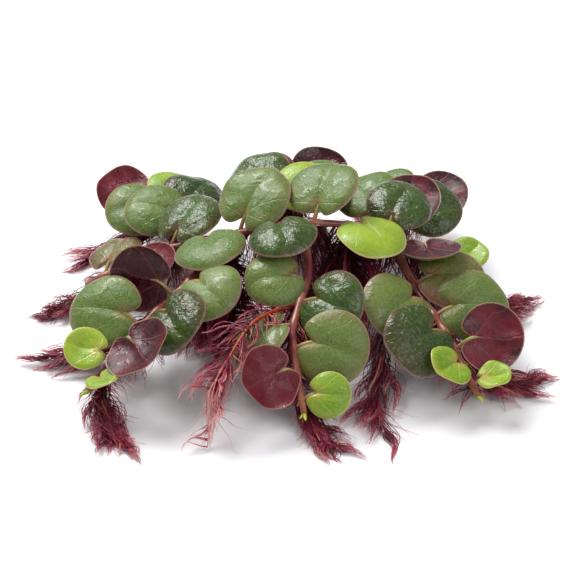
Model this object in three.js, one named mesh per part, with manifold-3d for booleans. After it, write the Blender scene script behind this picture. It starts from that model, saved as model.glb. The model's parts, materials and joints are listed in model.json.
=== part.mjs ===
// Red root floater (Phyllanthus fluitans): one branching plant, lifted out of the water, on a table.
// Millimetres, +Z up. The origin is on the table, under the middle of the plant. -Y is the plant's front.
import * as THREE from "three";
import { mergeVertices } from "three/addons/utils/BufferGeometryUtils.js";
import Module from "manifold-3d";

const wasm = await Module();
wasm.setup();

// Driving dimensions
const GAP = 0.35; // between two pieces that grow from each other
const SLANT = 1.25; // the blunt end of a slanting piece stands off by this many times more
const STEM_RADIUS = 0.9;
const STEM_TIP_RADIUS = 0.6;
const NODE_SWELL = 1.3; // a stem is this many times thicker where a leaf grows
const BARE_BASE = 0.22; // share of a side stem that carries no leaf
const FORK_DROP = 0.55; // a side stem leaves this far below the main stem, as a slope
const PETIOLE_RADIUS = 0.5;
const PETIOLE_LENGTH = 4.3; // from the stem's middle to the notch of a leaf of full size
const PETIOLE_RISE = 41; // degrees that a petiole climbs towards its blade
const LEAF_SPREAD = 66; // degrees between the stem and a midrib
const FULL_LEAF = 15; // width of a full-grown blade
const YOUNG_LEAF = 9; // a leaf no wider than this is one with its stem
const BLADE_LENGTH = 0.94; // length over width
const BLADE_THICKNESS = 0.9;
const LOBE_LIFT = 0.5; // share of the droop that moves from the lobes beside the notch to the apex
const NOTCH_DEPTH = 0.42; // share of the blade's radius
const NOTCH_HALF_ANGLE = 12; // degrees
const ROOT_RADIUS = 0.6;
const ROOT_TIP_RADIUS = 0.25;
const ROOTLET_RADIUS = 0.32;
const ROOTLET_START = 0.28; // share of the main root above its first side root

// How finely each form is faceted
const BLADE_SIDES = 12;
const YOUNG_BLADE_SIDES = 8;
const BLADE_RINGS = 4;
const NOTCH_CROWDING = 0.35; // how much the blade's corners crowd towards its notch
const STEM_SIDES = 5;
const FINE_SIDES = 3;

// Each stem's route, and its leaves from base to tip. A side stem starts at a share of the main stem's
// length. A leaf is [side of the stem, width, pitch, roll, droop, look], in mm and degrees: its midrib
// climbs by pitch, it turns about the midrib by roll, and its rim droops. A young leaf has its stem's look.
const SHOOTS = {
  main_stem: {
    route: [[-42, 5, 5], [-28, 6, 12], [-13, 3, 18], [3, 0, 23], [18, 2, 20], [31, 0, 13], [42, -6, 5]],
    leaves: [
      [1, 12, 12, -20, 1, "olive"],
      [-1, 13, -8, -155, 1.2, "green"],
      [1, 15, 24, -10, 1.2, "dark"],
      [-1, 15, 8, 14, 1.4, "green"],
      [1, 16, 36, 2, 1.2, "green"],
      [-1, 14, 4, 8, 1.5, "dark"],
      [1, 15.5, 28, -14, 1.2, "green"],
      [-1, 14.5, -2, -4, 1.4, "lime"],
      [1, 14, 20, 10, 1.1, "dark"],
      [-1, 13, 8, 178, 1, "green"],
      [1, 9, 10, 8, -0.8],
      [-1, 7.5, 4, -6, -0.6],
    ],
  },
  side_stem_1: {
    from: 0.33,
    route: [[-19, -8, 15], [-29, -20, 11], [-38, -32, 5]],
    leaves: [
      [1, 14, -2, 26, 1.4, "green"],
      [-1, 13.5, 6, 112, 1.2, "olive"],
      [1, 14.5, 0, 38, 1.3, "dark"],
      [-1, 15.5, 0, -38, 1.2, "green"],
      [1, 14, 0, -148, 1.1, "green"],
      [-1, 9, 4, -30, -0.8],
      [1, 7, 10, 10, -0.6],
    ],
  },
  side_stem_2: {
    from: 0.52,
    route: [[4, -11, 18], [1, -24, 13], [3, -39, 5]],
    leaves: [
      [-1, 12.5, -4, -30, 1.3, "green"],
      [1, 14, 1, 42, 1.4, "dark"],
      [-1, 14.5, -28, 3, 1.3, "green"],
      [1, 15, -6, 50, 1.2, "green"],
      [-1, 12.5, -6, 130, 1.1, "olive"],
      [1, 9, 0, 50, 0.8],
    ],
  },
  side_stem_3: {
    from: 0.72,
    route: [[25, -9, 14], [31, -21, 10], [36, -33, 4.5]],
    leaves: [
      [1, 15, 0, 20, 1.3, "olive"],
      [-1, 15.5, 2, -36, 1.5, "green"],
      [1, 15.5, -2, 35, 1.3, "green"],
      [-1, 15.5, 0, -36, 1.3, "dark"],
      [1, 13.5, 0, -135, 1.1, "green"],
      [-1, 9, 6, -26, -0.8],
      [1, 7, 8, 10, -0.6],
    ],
  },
  side_stem_4: {
    from: 0.25,
    route: [[-22, 17, 13], [-29, 28, 10], [-31, 40, 5]],
    leaves: [
      [1, 14, 10, -20, 1.2, "green"],
      [-1, 15, 4, 18, 1.4, "dark"],
      [1, 14, 2, -24, 1.2, "green"],
      [-1, 14, 0, 20, 1.2, "lime"],
      [1, 13, 2, 155, 1.1, "olive"],
      [-1, 9, 4, 14, 0.8],
      [1, 7, 8, -10, -0.6],
    ],
  },
  side_stem_5: {
    from: 0.45,
    route: [[-3, 13, 20], [1, 26, 15], [0, 40, 7]],
    leaves: [
      [-1, 15, 6, 18, 1.2, "lime"],
      [1, 15, 6, -22, 1.4, "dark"],
      [-1, 15, 2, 20, 1.2, "green"],
      [1, 14, 2, -24, 1.2, "olive"],
      [-1, 13.5, 4, -155, 1.1, "dark"],
      [1, 9, 4, -14, 0.8],
      [-1, 7.5, 6, 10, -0.6],
    ],
  },
  side_stem_6: {
    from: 0.65,
    route: [[19, 14, 16], [26, 26, 11], [30, 38, 5]],
    leaves: [
      [-1, 14, 6, -158, 1.2, "green"],
      [1, 14.5, 4, -20, 1.4, "green"],
      [-1, 15, 0, 24, 1.2, "dark"],
      [1, 14, 2, -22, 1.3, "green"],
      [-1, 13, 2, -158, 1.1, "green"],
      [1, 9, 4, -12, -0.8],
      [-1, 7, 6, 8, -0.6],
    ],
  },
};

// Each root tuft: the stem it hangs from, the share of the stem's length, where its main root runs from
// there, how far its side roots reach, how many there are, how far they sag, as a share of their height, and
// how many degrees they spread from the way that the tuft runs. The widest ones hang under the middle of the
// plant as curtains.
const ROOTS = [
  ["side_stem_2", 0.38, [[-2, -19.5, 15], [-7, -26, 16], [-13, -36, 10], [-15, -44, 0.7]], 10, 5, 0.25, 44],
  ["side_stem_3", 0.35, [[22, -14, 9], [18, -22, 5], [17, -31, 2], [18, -40, 0.7]], 13, 4, 0.9, 44],
  ["side_stem_1", 0.5, [[-34, -17, 5], [-42, -17, 2.5], [-49, -14, 0.7]], 11, 4, 0.9, 44],
  ["side_stem_1", 0.8, [[-36, -32, 3], [-34, -38, 1.5], [-30, -44, 0.7]], 10, 4, 0.9, 44],
  ["main_stem", 0.06, [[-43, 3, 2.6], [-47, 2, 1.5], [-51, -1, 0.7]], 7, 3, 0.9, 44],
  ["side_stem_3", 0.7, [[37, -25, 4], [43, -26, 2], [49, -23, 0.7]], 10, 4, 0.9, 44],
  ["main_stem", 0.94, [[42, -2, 4], [46, 1, 2], [50, 6, 0.7]], 8, 3, 0.9, 44],
  ["side_stem_2", 0.85, [[4, -36, 2.5], [6, -41, 1.2], [10, -45, 0.7]], 8, 4, 0.9, 44],
  ["main_stem", 0.33, [[-13.5, 0, 11], [-14, -4, 5], [-15, -11, 0.9]], 17, 6, 0.9, 75],
  ["main_stem", 0.62, [[12, 0, 13], [12, -3, 6], [11, -10, 0.9]], 17, 6, 0.9, 75],
  ["side_stem_4", 0.5, [[-30, 24, 6], [-37, 24, 2.5], [-45, 21, 0.7]], 12, 4, 0.9, 44],
  ["side_stem_5", 0.4, [[-1, 20, 12], [0, 25, 6], [1, 34, 0.9]], 15, 5, 0.9, 65],
  ["side_stem_6", 0.55, [[24, 25, 7], [20, 33, 3], [17, 44, 0.7]], 12, 4, 0.9, 44],
];

const LOOKS = {
  green: { color: 0x5d7136, roughness: 0.35 },
  lime: { color: 0x84a21f, roughness: 0.35 },
  dark: { color: 0x3c5220, roughness: 0.3 },
  olive: { color: 0x66683a, roughness: 0.4 },
  stem: { color: 0x7c3336, roughness: 0.4 },
  root: { color: 0x7a1a30, roughness: 0.5 },
};
const material = {};
for (const [name, look] of Object.entries(LOOKS)) {
  material[name] = new THREE.MeshStandardMaterial({ ...look, metalness: 0 });
}

const UP = new THREE.Vector3(0, 0, 1);
const rad = THREE.MathUtils.degToRad;
const mix = THREE.MathUtils.lerp;
const vector = ([x, y, z]) => new THREE.Vector3(x, y, z);
const curveThrough = (points) => new THREE.CatmullRomCurve3(points, false, "centripetal");

// A closed geometry as a solid that others can be joined to
function solid(geometry) {
  geometry.deleteAttribute("normal");
  geometry.deleteAttribute("uv");
  const merged = mergeVertices(geometry, 1e-4);
  const corners = merged.index.array;
  const triVerts = [];
  for (let i = 0; i < corners.length; i += 3) {
    const [a, b, c] = corners.slice(i, i + 3);
    if (a !== b && b !== c && c !== a) triVerts.push(a, b, c);
  }
  const vertProperties = merged.attributes.position.array;
  return new wasm.Manifold(
    new wasm.Mesh({ numProp: 3, vertProperties, triVerts: new Uint32Array(triVerts) }),
  );
}

function piece(name, made, look) {
  const { vertProperties, triVerts } = made.getMesh();
  const geometry = new THREE.BufferGeometry()
    .setAttribute("position", new THREE.BufferAttribute(vertProperties, 3))
    .setIndex(new THREE.BufferAttribute(triVerts, 1));
  geometry.computeVertexNormals();
  const mesh = new THREE.Mesh(geometry, look);
  mesh.name = name;
  return mesh;
}

// A round strand along a curve: a turned profile bent to it, with stations of [share of length, radius]
function strand(curve, stations, sides) {
  const profile = stations.map(([share, radius]) => new THREE.Vector2(radius, share));
  profile.unshift(new THREE.Vector2(0, stations[0][0]));
  profile.push(new THREE.Vector2(0, stations.at(-1)[0]));
  const geometry = new THREE.LatheGeometry(profile, sides);
  const frameSteps = 40;
  const frames = curve.computeFrenetFrames(frameSteps);
  const places = geometry.attributes.position;
  for (let i = 0; i < places.count; i++) {
    const share = places.getY(i);
    const step = Math.round(share * frameSteps);
    const place = curve
      .getPointAt(Math.min(share, 1))
      .addScaledVector(frames.normals[step], places.getZ(i))
      .addScaledVector(frames.binormals[step], places.getX(i));
    places.setXYZ(i, ...place);
  }
  return solid(geometry);
}

// Stations from one radius to another, evenly spread over a strand's length
function taper(fromRadius, toRadius, steps, fromShare = 0) {
  const stations = [];
  for (let i = 0; i <= steps; i++) {
    stations.push([mix(fromShare, 1, i / steps), mix(fromRadius, toRadius, i / steps)]);
  }
  return stations;
}

// How far a blade's outline reaches from its middle, as a share of its half width. The notch is at 180.
function outline(angle) {
  const fromNotch = (Math.PI - Math.abs(angle)) / rad(NOTCH_HALF_ANGLE);
  return 1 - NOTCH_DEPTH * Math.exp(-fromNotch * fromNotch);
}

// A heart-shaped blade, its notch at the origin and its midrib along +X, made from a flattened ball
function blade(width, droop) {
  const half = width / 2;
  const middle = half * BLADE_LENGTH * (1 - NOTCH_DEPTH);
  const sides = width > YOUNG_LEAF ? BLADE_SIDES : YOUNG_BLADE_SIDES;
  const geometry = new THREE.SphereGeometry(1, sides, BLADE_RINGS);
  const places = geometry.attributes.position;
  for (let i = 0; i < places.count; i++) {
    const out = Math.hypot(places.getX(i), places.getZ(i));
    const even = Math.atan2(-places.getZ(i), places.getX(i));
    const angle = even + NOTCH_CROWDING * Math.sin(even);
    const reach = half * out * outline(angle);
    places.setXYZ(
      i,
      middle + reach * Math.cos(angle) * BLADE_LENGTH,
      reach * Math.sin(angle),
      (BLADE_THICKNESS / 2) * places.getY(i) - droop * out * out * (1 + LOBE_LIFT * Math.cos(angle)),
    );
  }
  return solid(geometry);
}

// A leaf with its petiole, which climbs from a node at the origin to the blade's notch. The petiole starts
// at a standoff from the stem's middle.
function leaf(width, roll, droop, standoff) {
  const length = PETIOLE_LENGTH * (0.4 + (0.6 * width) / FULL_LEAF);
  const rise = rad(PETIOLE_RISE);
  const notch = new THREE.Vector3(length * Math.cos(rise), 0, length * Math.sin(rise));
  const inside = notch.clone().add(new THREE.Vector3(0.1 * width, 0, -0.1));
  const petiole = curveThrough([new THREE.Vector3(), notch, inside]);
  const start = standoff / petiole.getLength();
  const stations = taper(PETIOLE_RADIUS, PETIOLE_RADIUS * 0.7, 1, start);
  return blade(width, droop)
    .rotate([roll, 0, 0])
    .translate(notch.toArray())
    .add(strand(petiole, stations, FINE_SIDES));
}

// A tuft: a main root with finer side roots, which leave it by turns to the left and to the right. Each goes
// out for half its length, then turns the way that the tuft runs, and sags towards the table.
function rootTuft(points, reach, count, sag, spread) {
  const main = curveThrough(points);
  const heading = points.at(-1).clone().sub(points[0]).setZ(0).normalize();
  let tuft = strand(main, taper(ROOT_RADIUS, ROOT_TIP_RADIUS, count + 1), FINE_SIDES);
  for (let i = 0; i < count; i++) {
    const share = mix(ROOTLET_START, 0.95, i / (count - 1));
    const side = i % 2 ? 1 : -1;
    const length = reach * mix(1, 0.6, share * share);
    const start = main.getPointAt(share);
    const out = heading.clone().applyAxisAngle(UP, side * rad(spread));
    const bend = start.clone().addScaledVector(out, 0.5 * length);
    bend.setZ(mix(start.z, ROOTLET_RADIUS, 0.4 * sag));
    const end = bend.clone().addScaledVector(heading, 0.5 * length);
    end.addScaledVector(out, 0.15 * length).setZ(mix(start.z, ROOTLET_RADIUS, sag));
    const rootlet = curveThrough([start, bend, end]);
    tuft = tuft.add(strand(rootlet, taper(ROOTLET_RADIUS, ROOT_TIP_RADIUS, 2), FINE_SIDES));
  }
  return tuft;
}

const plant = new THREE.Group();
const stems = {};

// Where a side stem starts: beside the main stem and a little below its middle, so that a petiole has room
function forkPoint(share, towards) {
  const fork = stems.main_stem.getPointAt(share);
  const out = towards.clone().sub(fork).setZ(0).normalize().setZ(-FORK_DROP).normalize();
  return fork.addScaledVector(out, SLANT * (STEM_RADIUS * NODE_SWELL + GAP));
}

// Where a leaf grows: at a share of its stem's length, turned to its side and pitched
function leafPlace(curve, share, side, pitch) {
  const along = curve.getTangentAt(share);
  const heading = Math.atan2(along.y, along.x) + side * rad(LEAF_SPREAD);
  return new THREE.Matrix4()
    .makeRotationFromEuler(new THREE.Euler(0, -rad(pitch), heading, "ZYX"))
    .setPosition(curve.getPointAt(share));
}

// A stem with its leaves. It swells where a grown leaf leaves it, and its young leaves are one with it.
function growShoot(name, { from, route, leaves }) {
  const points = route.map(vector);
  if (from) points.unshift(forkPoint(from, points[0]));
  const curve = curveThrough(points);
  const bare = from ? BARE_BASE : 0;
  const spacing = (1 - bare) / leaves.length;
  const stations = [[0, STEM_RADIUS]];
  const young = [];
  leaves.forEach(([side, width, pitch, roll, droop, look], i) => {
    const share = bare + spacing * (i + 0.5);
    const place = leafPlace(curve, share, side, pitch);
    if (width <= YOUNG_LEAF) {
      young.push(leaf(width, roll, droop, 0).transform(place.elements));
      return;
    }
    const radius = mix(STEM_RADIUS, STEM_TIP_RADIUS, share);
    stations.push([share, radius * NODE_SWELL], [share + spacing / 2, radius]);
    const standoff = SLANT * (radius * NODE_SWELL + GAP);
    const grown = piece(`${name}_leaf_${i + 1}`, leaf(width, roll, droop, standoff), material[look]);
    grown.applyMatrix4(place);
    plant.add(grown);
  });
  stations.push([1, STEM_TIP_RADIUS]);
  const whole = young.reduce((joined, one) => joined.add(one), strand(curve, stations, STEM_SIDES));
  plant.add(piece(name, whole, material.stem));
  stems[name] = curve;
}

function growRoots([stem, share, route, reach, count, sag, spread], i) {
  const start = stems[stem].getPointAt(share);
  start.z -= mix(STEM_RADIUS, STEM_TIP_RADIUS, share) * NODE_SWELL + 2 * GAP;
  const tuft = rootTuft([start, ...route.map(vector)], reach, count, sag, spread);
  plant.add(piece(`root_tuft_${i + 1}`, tuft, material.root));
}

for (const [name, shoot] of Object.entries(SHOOTS)) growShoot(name, shoot);
ROOTS.forEach(growRoots);

export default plant;
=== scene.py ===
"""Red root floater (Phyllanthus fluitans): one branching plant, lifted out of the water and lying on a table.

Tables are in millimetres and degrees, in the frame of the solids: +Z is up, the origin is on the table under
the middle of the plant, and -Y is its front. Pieces are shaped in millimetres and turned to metres as they
settle.
"""

import bisect
import json
import math
import random

import bmesh
import bpy
from mathutils import Matrix, Vector, noise


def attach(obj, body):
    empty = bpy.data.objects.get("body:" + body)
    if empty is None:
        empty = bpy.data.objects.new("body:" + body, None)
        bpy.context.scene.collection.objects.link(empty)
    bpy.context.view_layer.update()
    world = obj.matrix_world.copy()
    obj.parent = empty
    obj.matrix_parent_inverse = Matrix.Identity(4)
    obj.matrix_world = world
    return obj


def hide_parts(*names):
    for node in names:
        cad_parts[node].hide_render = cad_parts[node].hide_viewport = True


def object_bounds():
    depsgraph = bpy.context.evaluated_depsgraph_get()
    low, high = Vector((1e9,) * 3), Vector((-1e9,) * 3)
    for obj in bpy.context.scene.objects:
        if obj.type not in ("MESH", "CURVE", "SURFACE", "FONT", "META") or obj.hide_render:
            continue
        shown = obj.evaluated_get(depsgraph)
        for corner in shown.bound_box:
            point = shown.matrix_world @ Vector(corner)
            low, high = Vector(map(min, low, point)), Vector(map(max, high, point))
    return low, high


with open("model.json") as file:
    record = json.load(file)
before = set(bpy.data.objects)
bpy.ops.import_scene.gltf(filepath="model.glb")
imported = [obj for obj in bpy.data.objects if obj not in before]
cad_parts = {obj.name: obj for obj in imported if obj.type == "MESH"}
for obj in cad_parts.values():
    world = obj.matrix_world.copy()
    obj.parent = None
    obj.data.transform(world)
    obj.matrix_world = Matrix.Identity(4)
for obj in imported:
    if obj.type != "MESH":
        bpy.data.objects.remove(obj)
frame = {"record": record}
solid_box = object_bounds()

NOISE_SEED = 8  # without one, noise_vector follows the time of day
noise.seed_set(NOISE_SEED)

MM = 0.001
UP = Vector((0, 0, 1))

# Driving dimensions of the stems and leaves, as the solids have them
STEM_RADIUS = 0.9
STEM_TIP_RADIUS = 0.6
NODE_SWELL = 1.3
NODE_LENGTH = 1.1
GAP = 0.35
SLANT = 1.25
BARE_BASE = 0.22
FORK_DROP = 0.55
PETIOLE_LENGTH = 4.3
PETIOLE_RISE = 41
LEAF_SPREAD = 66
FULL_LEAF = 15
YOUNG_LEAF = 9  # a leaf no wider than this is one with its stem
BLADE_LENGTH = 0.94
LOBE_LIFT = 0.5
NOTCH_DEPTH = 0.42
NOTCH_HALF_ANGLE = 12

# The skin of the blades, and the petioles
BLADE_SKIN = 0.5
MIDRIB_WIDTH = 0.14
RIM_CURL = 0.35
UNEVEN = 0.02  # how far an outline strays from a true heart, as a share of its half width
PUCKERS_PER_MM = 0.42
PETIOLE_RADIUS = 0.42
PETIOLE_TOP_RADIUS = 0.12
PETIOLE_START = 0.6  # how deep in the stem it starts, as a share of the stem's radius
LEAST_PETIOLE = 0.4  # share of the length and thickness that doesn't shrink with the blade
RIB_REACH = 0.16  # where the petiole has sunk into the midrib, as a share of the blade's width

# Scales at the nodes and buds at the tips: half their length, width and thickness, and how slim they end
SCALE = (1.1, 0.45, 0.16)
SCALE_TAPER = 0.7
TIP_BUD = (1.5, 0.6, 0.45)
SIDE_BUD = (1.0, 0.4, 0.3)
BUD_TAPER = 0.6
BROKEN_RIM = 0.2  # thickness of the rind around the pith, where the main stem broke off
PITH_DEPTH = 0.5

# Roots, and the locks in which fine ones cling together
ROOT_RADIUS = 0.42
BARKED_RADIUS = 0.62
ROOT_TIP_RADIUS = 0.14
CORD_RADIUS = 0.2  # a lock's thickest root
FINE_RADIUS = 0.128
TIP_RADIUS = 0.03
BEADS = 1.5  # bumps along a main root, per mm
BEAD_HEIGHT = 0.4  # as a share of the main root's radius
ROOTLET_RADIUS = 0.32
ROOTLET_START = 0.28  # shares of the main root between which the solids' side roots leave it
ROOTLET_END = 0.95
LAST_LENGTH = 0.6  # length of a side root at the main root's tip, as a share of one at its start
LOCK_ROOTS = 24  # fine roots in a full lock
LOCK_FOOT = 1.3  # how far apart they leave their parent
LOCK_SWAY = 2.2  # how far a lock's tip strays
LOCK_SWAYS = 0.12  # how often it does, per mm
WAVERS = 0.3  # how often a single root strays, per mm
RUSTY = 0.35  # share of the locks whose thickest root is rust brown
MORE_LOCKS = 13  # a tuft's locks beside those that the solids show
RUNNING_LOCKS = 4  # a tuft's locks that run along the main root to its tip
STRAY_ROOTS = 40
STRAYS_END = 0.85  # share of the main root that they leave
NODE_LOCKS = 5
NODE_LOCK_ROOTS = 8
NODE_ROOT_LENGTH = 7
HIGH_NODE = 8  # a node above this also has long locks, which reach the table
LONG_LOCKS = 5
LONG_LOCK_ROOTS = 20
ROOM = 2.5  # how far roots may reach past the solids
TABLE_CLEARANCE = 0.16

# Where a root's colour starts on its way from dark to pale
MAIN_ROOT_TONE = 0.4
BARK_TONE = -0.5
TAIL_TONE = 1
PALER_TO_TIP = 0.6  # how much paler the side roots at a main root's tip are than those at its start

# Tufts that differ from the rest, by number
MIDDLE_TUFTS = (9, 10, 12)  # they hang under the middle of the plant
MIDDLE_FULLNESS = 3.5  # how much fuller they are
BARKED_TUFTS = (1, 9)  # their main roots are old, with an orange bark
BARK_END = 0.66  # share of an old root that has a bark
TAIL_START = BARK_END - 0.1  # where an old root's pale core shows
TAIL_RADIUS = 0.27
HERO_TUFT = 1  # the long one in front
HERO_LOCKS = 34
HERO_LOCK_ROOTS = (3, 8)  # the fewest and the most fine roots of one
HERO_SHOWN_ROOTS = 9  # fine roots of a lock on a side root that the solids show
TAIL_LOCKS = 8
TAIL_LOCK_ROOTS = 6

# How finely each form is drawn
BLADE_SIDES = 72
BLADE_RINGS = 30
NOTCH_CROWDING = 0.45
WALK_STEPS = 40
LOCK_STEPS = (4, 9)  # the fewest and the most
STEPS_PER_MM = 0.8
STRAY_STEPS = 7
TAIL_STEPS = 9
STRAND_SIDES = 4  # of a fine root, as curves with a bevel resolution of 0 have
ROOT_SIDES = 8
ROOT_RINGS_PER_MM = 4
PETIOLE_SIDES = 10
PETIOLE_RINGS = 16
STEM_SIDES = 14
STEM_RINGS = 12  # for each stretch between nodes

# Each stem's route, and its leaves from base to tip. A side stem starts at a share of the main stem's length.
# A leaf is (side of the stem, width, pitch, roll, droop).
SHOOTS = {
    "main_stem": {
        "route": [(-42, 5, 5), (-28, 6, 12), (-13, 3, 18), (3, 0, 23), (18, 2, 20), (31, 0, 13), (42, -6, 5)],
        "leaves": [
            (1, 12, 12, -20, 1),
            (-1, 13, -8, -155, 1.2),
            (1, 15, 24, -10, 1.2),
            (-1, 15, 8, 14, 1.4),
            (1, 16, 36, 2, 1.2),
            (-1, 14, 4, 8, 1.5),
            (1, 15.5, 28, -14, 1.2),
            (-1, 14.5, -2, -4, 1.4),
            (1, 14, 20, 10, 1.1),
            (-1, 13, 8, 178, 1),
            (1, 9, 10, 8, -0.8),
            (-1, 7.5, 4, -6, -0.6),
        ],
    },
    "side_stem_1": {
        "from": 0.33,
        "route": [(-19, -8, 15), (-29, -20, 11), (-38, -32, 5)],
        "leaves": [
            (1, 14, -2, 26, 1.4),
            (-1, 13.5, 6, 112, 1.2),
            (1, 14.5, 0, 38, 1.3),
            (-1, 15.5, 0, -38, 1.2),
            (1, 14, 0, -148, 1.1),
            (-1, 9, 4, -30, -0.8),
            (1, 7, 10, 10, -0.6),
        ],
    },
    "side_stem_2": {
        "from": 0.52,
        "route": [(4, -11, 18), (1, -24, 13), (3, -39, 5)],
        "leaves": [
            (-1, 12.5, -4, -30, 1.3),
            (1, 14, 1, 42, 1.4),
            (-1, 14.5, -28, 3, 1.3),
            (1, 15, -6, 50, 1.2),
            (-1, 12.5, -6, 130, 1.1),
            (1, 9, 0, 50, 0.8),
        ],
    },
    "side_stem_3": {
        "from": 0.72,
        "route": [(25, -9, 14), (31, -21, 10), (36, -33, 4.5)],
        "leaves": [
            (1, 15, 0, 20, 1.3),
            (-1, 15.5, 2, -36, 1.5),
            (1, 15.5, -2, 35, 1.3),
            (-1, 15.5, 0, -36, 1.3),
            (1, 13.5, 0, -135, 1.1),
            (-1, 9, 6, -26, -0.8),
            (1, 7, 8, 10, -0.6),
        ],
    },
    "side_stem_4": {
        "from": 0.25,
        "route": [(-22, 17, 13), (-29, 28, 10), (-31, 40, 5)],
        "leaves": [
            (1, 14, 10, -20, 1.2),
            (-1, 15, 4, 18, 1.4),
            (1, 14, 2, -24, 1.2),
            (-1, 14, 0, 20, 1.2),
            (1, 13, 2, 155, 1.1),
            (-1, 9, 4, 14, 0.8),
            (1, 7, 8, -10, -0.6),
        ],
    },
    "side_stem_5": {
        "from": 0.45,
        "route": [(-3, 13, 20), (1, 26, 15), (0, 40, 7)],
        "leaves": [
            (-1, 15, 6, 18, 1.2),
            (1, 15, 6, -22, 1.4),
            (-1, 15, 2, 20, 1.2),
            (1, 14, 2, -24, 1.2),
            (-1, 13.5, 4, -155, 1.1),
            (1, 9, 4, -14, 0.8),
            (-1, 7.5, 6, 10, -0.6),
        ],
    },
    "side_stem_6": {
        "from": 0.65,
        "route": [(19, 14, 16), (26, 26, 11), (30, 38, 5)],
        "leaves": [
            (-1, 14, 6, -158, 1.2),
            (1, 14.5, 4, -20, 1.4),
            (-1, 15, 0, 24, 1.2),
            (1, 14, 2, -22, 1.3),
            (-1, 13, 2, -158, 1.1),
            (1, 9, 4, -12, -0.8),
            (-1, 7, 6, 8, -0.6),
        ],
    },
}

# Each root tuft: the stem it hangs from, the share of the stem's length, where its main root runs from there,
# how far its side roots reach, how many the solids have, how far they sag, as a share of their height, and
# how many degrees they spread from the way that the tuft runs
ROOTS = [
    ("side_stem_2", 0.38, [(-2, -19.5, 15), (-7, -26, 16), (-13, -36, 10), (-15, -44, 0.7)], 10, 5, 0.25, 44),
    ("side_stem_3", 0.35, [(22, -14, 9), (18, -22, 5), (17, -31, 2), (18, -40, 0.7)], 13, 4, 0.9, 44),
    ("side_stem_1", 0.5, [(-34, -17, 5), (-42, -17, 2.5), (-49, -14, 0.7)], 11, 4, 0.9, 44),
    ("side_stem_1", 0.8, [(-36, -32, 3), (-34, -38, 1.5), (-30, -44, 0.7)], 10, 4, 0.9, 44),
    ("main_stem", 0.06, [(-43, 3, 2.6), (-47, 2, 1.5), (-51, -1, 0.7)], 7, 3, 0.9, 44),
    ("side_stem_3", 0.7, [(37, -25, 4), (43, -26, 2), (49, -23, 0.7)], 10, 4, 0.9, 44),
    ("main_stem", 0.94, [(42, -2, 4), (46, 1, 2), (50, 6, 0.7)], 8, 3, 0.9, 44),
    ("side_stem_2", 0.85, [(4, -36, 2.5), (6, -41, 1.2), (10, -45, 0.7)], 8, 4, 0.9, 44),
    ("main_stem", 0.33, [(-13.5, 0, 11), (-14, -4, 5), (-15, -11, 0.9)], 17, 6, 0.9, 75),
    ("main_stem", 0.62, [(12, 0, 13), (12, -3, 6), (11, -10, 0.9)], 17, 6, 0.9, 75),
    ("side_stem_4", 0.5, [(-30, 24, 6), (-37, 24, 2.5), (-45, 21, 0.7)], 12, 4, 0.9, 44),
    ("side_stem_5", 0.4, [(-1, 20, 12), (0, 25, 6), (1, 34, 0.9)], 15, 5, 0.9, 65),
    ("side_stem_6", 0.55, [(24, 25, 7), (20, 33, 3), (17, 44, 0.7)], 12, 4, 0.9, 44),
]

# How blades of each kind have grown, in mm: how far their halves fold up, puff out and pucker, and how far
# their rims wave
GROWTH = {
    "leaf_green": {"fold": 0.5, "puff": 0.3, "pucker": 0.12, "wave": 0.2},
    "leaf_lime": {"fold": 0.5, "puff": 0.25, "pucker": 0.06, "wave": 0.15},
    "leaf_dark": {"fold": 0.2, "puff": 0.45, "pucker": 0.28, "wave": 0.25},
    "leaf_olive": {"fold": 0.3, "puff": 0.3, "pucker": 0.16, "wave": 0.35},
}

# Camera and light
CAMERA_AIM = Vector((0, 0, 7.5))
CAMERA_ELEVATION = 33
CAMERA_DISTANCE = 330
CAMERA_LENS = 100
SKY_STRENGTH = 0.42
TABLE_SIZE = 8  # in metres


def mix(a, b, share):
    return a + (b - a) * share


def clamp(value, low=0.0, high=1.0):
    return max(low, min(high, value))


def between(four, share):
    """The centripetal Catmull-Rom point that is a share of the way between the middle two of four points."""
    p0, p1, p2, p3 = four
    d0, d1, d2 = (math.sqrt((b - a).length) for a, b in ((p0, p1), (p1, p2), (p2, p3)))
    leave = ((p1 - p0) / d0 - (p2 - p0) / (d0 + d1) + (p2 - p1) / d1) * d1
    arrive = ((p2 - p1) / d1 - (p3 - p1) / (d1 + d2) + (p3 - p2) / d2) * d1
    step = p2 - p1
    place = p1 + leave * share
    return place + (3 * step - 2 * leave - arrive) * share**2 + (leave + arrive - 2 * step) * share**3


class Route:
    """A smooth line through given points, walked by the share of its length."""

    def __init__(self, points):
        self.points = points = [Vector(p) for p in points]
        padded = [2 * points[0] - points[1], *points, 2 * points[-1] - points[-2]]
        self.walk = [points[0]]
        for four in zip(padded, padded[1:], padded[2:], padded[3:]):
            self.walk += [between(four, step / WALK_STEPS) for step in range(1, WALK_STEPS + 1)]
        self.reach = [0.0]
        for a, b in zip(self.walk, self.walk[1:]):
            self.reach.append(self.reach[-1] + (b - a).length)
        self.length = self.reach[-1]

    def at(self, share):
        target = clamp(share) * self.length
        i = bisect.bisect_left(self.reach, target, 1, len(self.reach) - 1)
        span = self.reach[i] - self.reach[i - 1]
        return self.walk[i - 1].lerp(self.walk[i], (target - self.reach[i - 1]) / span)

    def heading(self, share):
        return (self.at(share + 0.01) - self.at(share - 0.01)).normalized()


def linear(code):
    """An sRGB hex colour as the linear colour that a shader takes."""
    parts = [int(code[i : i + 2], 16) / 255 for i in (1, 3, 5)]
    return [p / 12.92 if p <= 0.04045 else ((p + 0.055) / 1.055) ** 2.4 for p in parts] + [1]


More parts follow.
